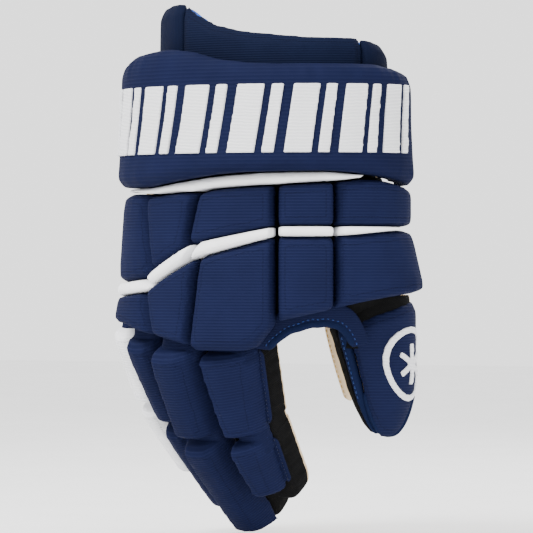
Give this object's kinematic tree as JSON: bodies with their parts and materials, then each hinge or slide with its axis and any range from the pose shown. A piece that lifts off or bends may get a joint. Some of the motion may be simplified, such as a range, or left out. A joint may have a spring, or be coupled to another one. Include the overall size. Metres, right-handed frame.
{
  "type": "ice hockey glove",
  "caption": "Padded right-hand ice hockey glove with flexing fingers and thumb, a flared cuff roll over a wrist guard, foam backhand pads and a suede palm.",
  "frame": {"origin": "centre of the cuff mouth that the hand goes into, level with the front edge of the cuff roll", "axes": "+Z out of the cuff mouth, away from the fingers; -Y is the back of the hand; +X is the thumb side"},
  "size_m": [0.2168, 0.1635, 0.341],
  "materials": {
    "navy_fabric": "matte ribbed nylon",
    "navy_knit": "matte knit",
    "white_leather": "smooth satin synthetic leather",
    "black_mesh": "matte stretch mesh",
    "tan_suede": "brushed suede",
    "blue_liner": "brushed lining",
    "grey_plastic": "moulded sheet",
    "white_thread": "satin stitched thread"
  },
  "bodies": {
    "hand": {"backhand_base": "black_mesh", "hand_liner": "blue_liner", "backhand_shields": "grey_plastic", "pad_upper_outer": "navy_fabric", "pad_upper_ring": "navy_fabric", "pad_upper_middle": "navy_fabric", "pad_upper_index": "navy_fabric", "pad_upper_thumb_side": "navy_fabric", "pad_lower_outer": "navy_fabric", "pad_lower_ring": "navy_fabric", "pad_lower_middle": "navy_fabric", "pad_lower_index": "navy_fabric", "pad_lower_thumb_side": "navy_fabric", "stripe_outer": "white_leather", "stripe_ring": "white_leather", "stripe_middle": "white_leather", "stripe_index": "white_leather", "stripe_thumb_side": "white_leather", "collar_strip": "white_leather", "palm_panel": "tan_suede", "outer_side_panel": "navy_fabric", "crotch_binding": "navy_knit", "thumb_stretch_panel": "black_mesh"},
    "index_base": {"index_pad_base": "navy_fabric", "index_gusset_base": "black_mesh", "index_palm_base": "tan_suede"},
    "index_tip": {"index_pad_tip": "navy_fabric", "index_gusset_tip": "black_mesh", "index_palm_tip": "tan_suede"},
    "middle_base": {"middle_pad_base": "navy_fabric", "middle_gusset_base": "black_mesh", "middle_palm_base": "tan_suede"},
    "middle_tip": {"middle_pad_tip": "navy_fabric", "middle_gusset_tip": "black_mesh", "middle_palm_tip": "tan_suede"},
    "ring_base": {"ring_pad_base": "navy_fabric", "ring_gusset_base": "black_mesh", "ring_palm_base": "tan_suede"},
    "ring_tip": {"ring_pad_tip": "navy_fabric", "ring_gusset_tip": "black_mesh", "ring_palm_tip": "tan_suede"},
    "little_base": {"little_pad_base": "white_leather", "little_gusset_base": "black_mesh", "little_palm_base": "tan_suede"},
    "little_tip": {"little_pad_tip": "white_leather", "little_gusset_tip": "black_mesh", "little_palm_tip": "tan_suede"},
    "thumb": {"thumb_pad": "navy_fabric", "thumb_splint": "grey_plastic", "thumb_gusset": "black_mesh", "thumb_palm": "tan_suede", "thumb_binding": "navy_knit", "thumb_emblem": "white_thread"},
    "wrist_guard": {"wrist_guard_outer": "navy_knit", "wrist_guard_centre": "navy_knit", "wrist_guard_thumb_side": "navy_knit", "wrist_guard_lining": "blue_liner"},
    "cuff_roll": {"cuff_roll": "navy_fabric", "cuff_roll_stiffener": "grey_plastic", "cuff_roll_embroidery": "white_thread"}
  },
  "joints": [
    {"name": "index_knuckle", "type": "hinge", "parent": "hand", "child": "index_base", "pos_m": [-0.0041, -0.0064, -0.166], "axis": [0.9781, -0.2079, 0], "range_deg": [-1, 50], "stiffness_Nm_per_rad": 0.6},
    {"name": "index_middle_bend", "type": "hinge", "parent": "index_base", "child": "index_tip", "pos_m": [0.00053, 0.01538, -0.21847], "axis": [0.9781, -0.2079, 0], "range_deg": [-3, 55], "stiffness_Nm_per_rad": 0.4},
    {"name": "middle_knuckle", "type": "hinge", "parent": "hand", "child": "middle_base", "pos_m": [-0.0389, -0.0061, -0.162], "axis": [0.9781, -0.2079, 0], "range_deg": [-1, 50], "stiffness_Nm_per_rad": 0.6},
    {"name": "middle_middle_bend", "type": "hinge", "parent": "middle_base", "child": "middle_tip", "pos_m": [-0.03352, 0.0192, -0.21503], "axis": [0.9781, -0.2079, 0], "range_deg": [-3, 55], "stiffness_Nm_per_rad": 0.4},
    {"name": "ring_knuckle", "type": "hinge", "parent": "hand", "child": "ring_base", "pos_m": [-0.0708, 0.0099, -0.152], "axis": [0.9781, -0.2079, 0], "range_deg": [-1, 50], "stiffness_Nm_per_rad": 0.6},
    {"name": "ring_middle_bend", "type": "hinge", "parent": "ring_base", "child": "ring_tip", "pos_m": [-0.06378, 0.04293, -0.204], "axis": [0.9781, -0.2079, 0], "range_deg": [-3, 55], "stiffness_Nm_per_rad": 0.4},
    {"name": "little_knuckle", "type": "hinge", "parent": "hand", "child": "little_base", "pos_m": [-0.0937, 0.0321, -0.152], "axis": [0.9781, -0.2079, 0], "range_deg": [-1, 50], "stiffness_Nm_per_rad": 0.6},
    {"name": "little_middle_bend", "type": "hinge", "parent": "little_base", "child": "little_tip", "pos_m": [-0.08914, 0.05354, -0.19694], "axis": [0.9781, -0.2079, 0], "range_deg": [-3, 55], "stiffness_Nm_per_rad": 0.4},
    {"name": "thumb_bend", "type": "hinge", "parent": "hand", "child": "thumb", "pos_m": [0.051, 0.04, -0.15], "axis": [0.8, 0.6, 0], "range_deg": [-3, 12], "stiffness_Nm_per_rad": 1.2},
    {"name": "wrist_flex", "type": "hinge", "parent": "hand", "child": "wrist_guard", "pos_m": [0, -0.06, -0.073], "axis": [1, 0, 0], "range_deg": [0, 15], "stiffness_Nm_per_rad": 4},
    {"name": "cuff_flare", "type": "hinge", "parent": "wrist_guard", "child": "cuff_roll", "pos_m": [0, -0.06, -0.073], "axis": [1, 0, 0], "range_deg": [0, 10], "stiffness_Nm_per_rad": 3}
  ]
}
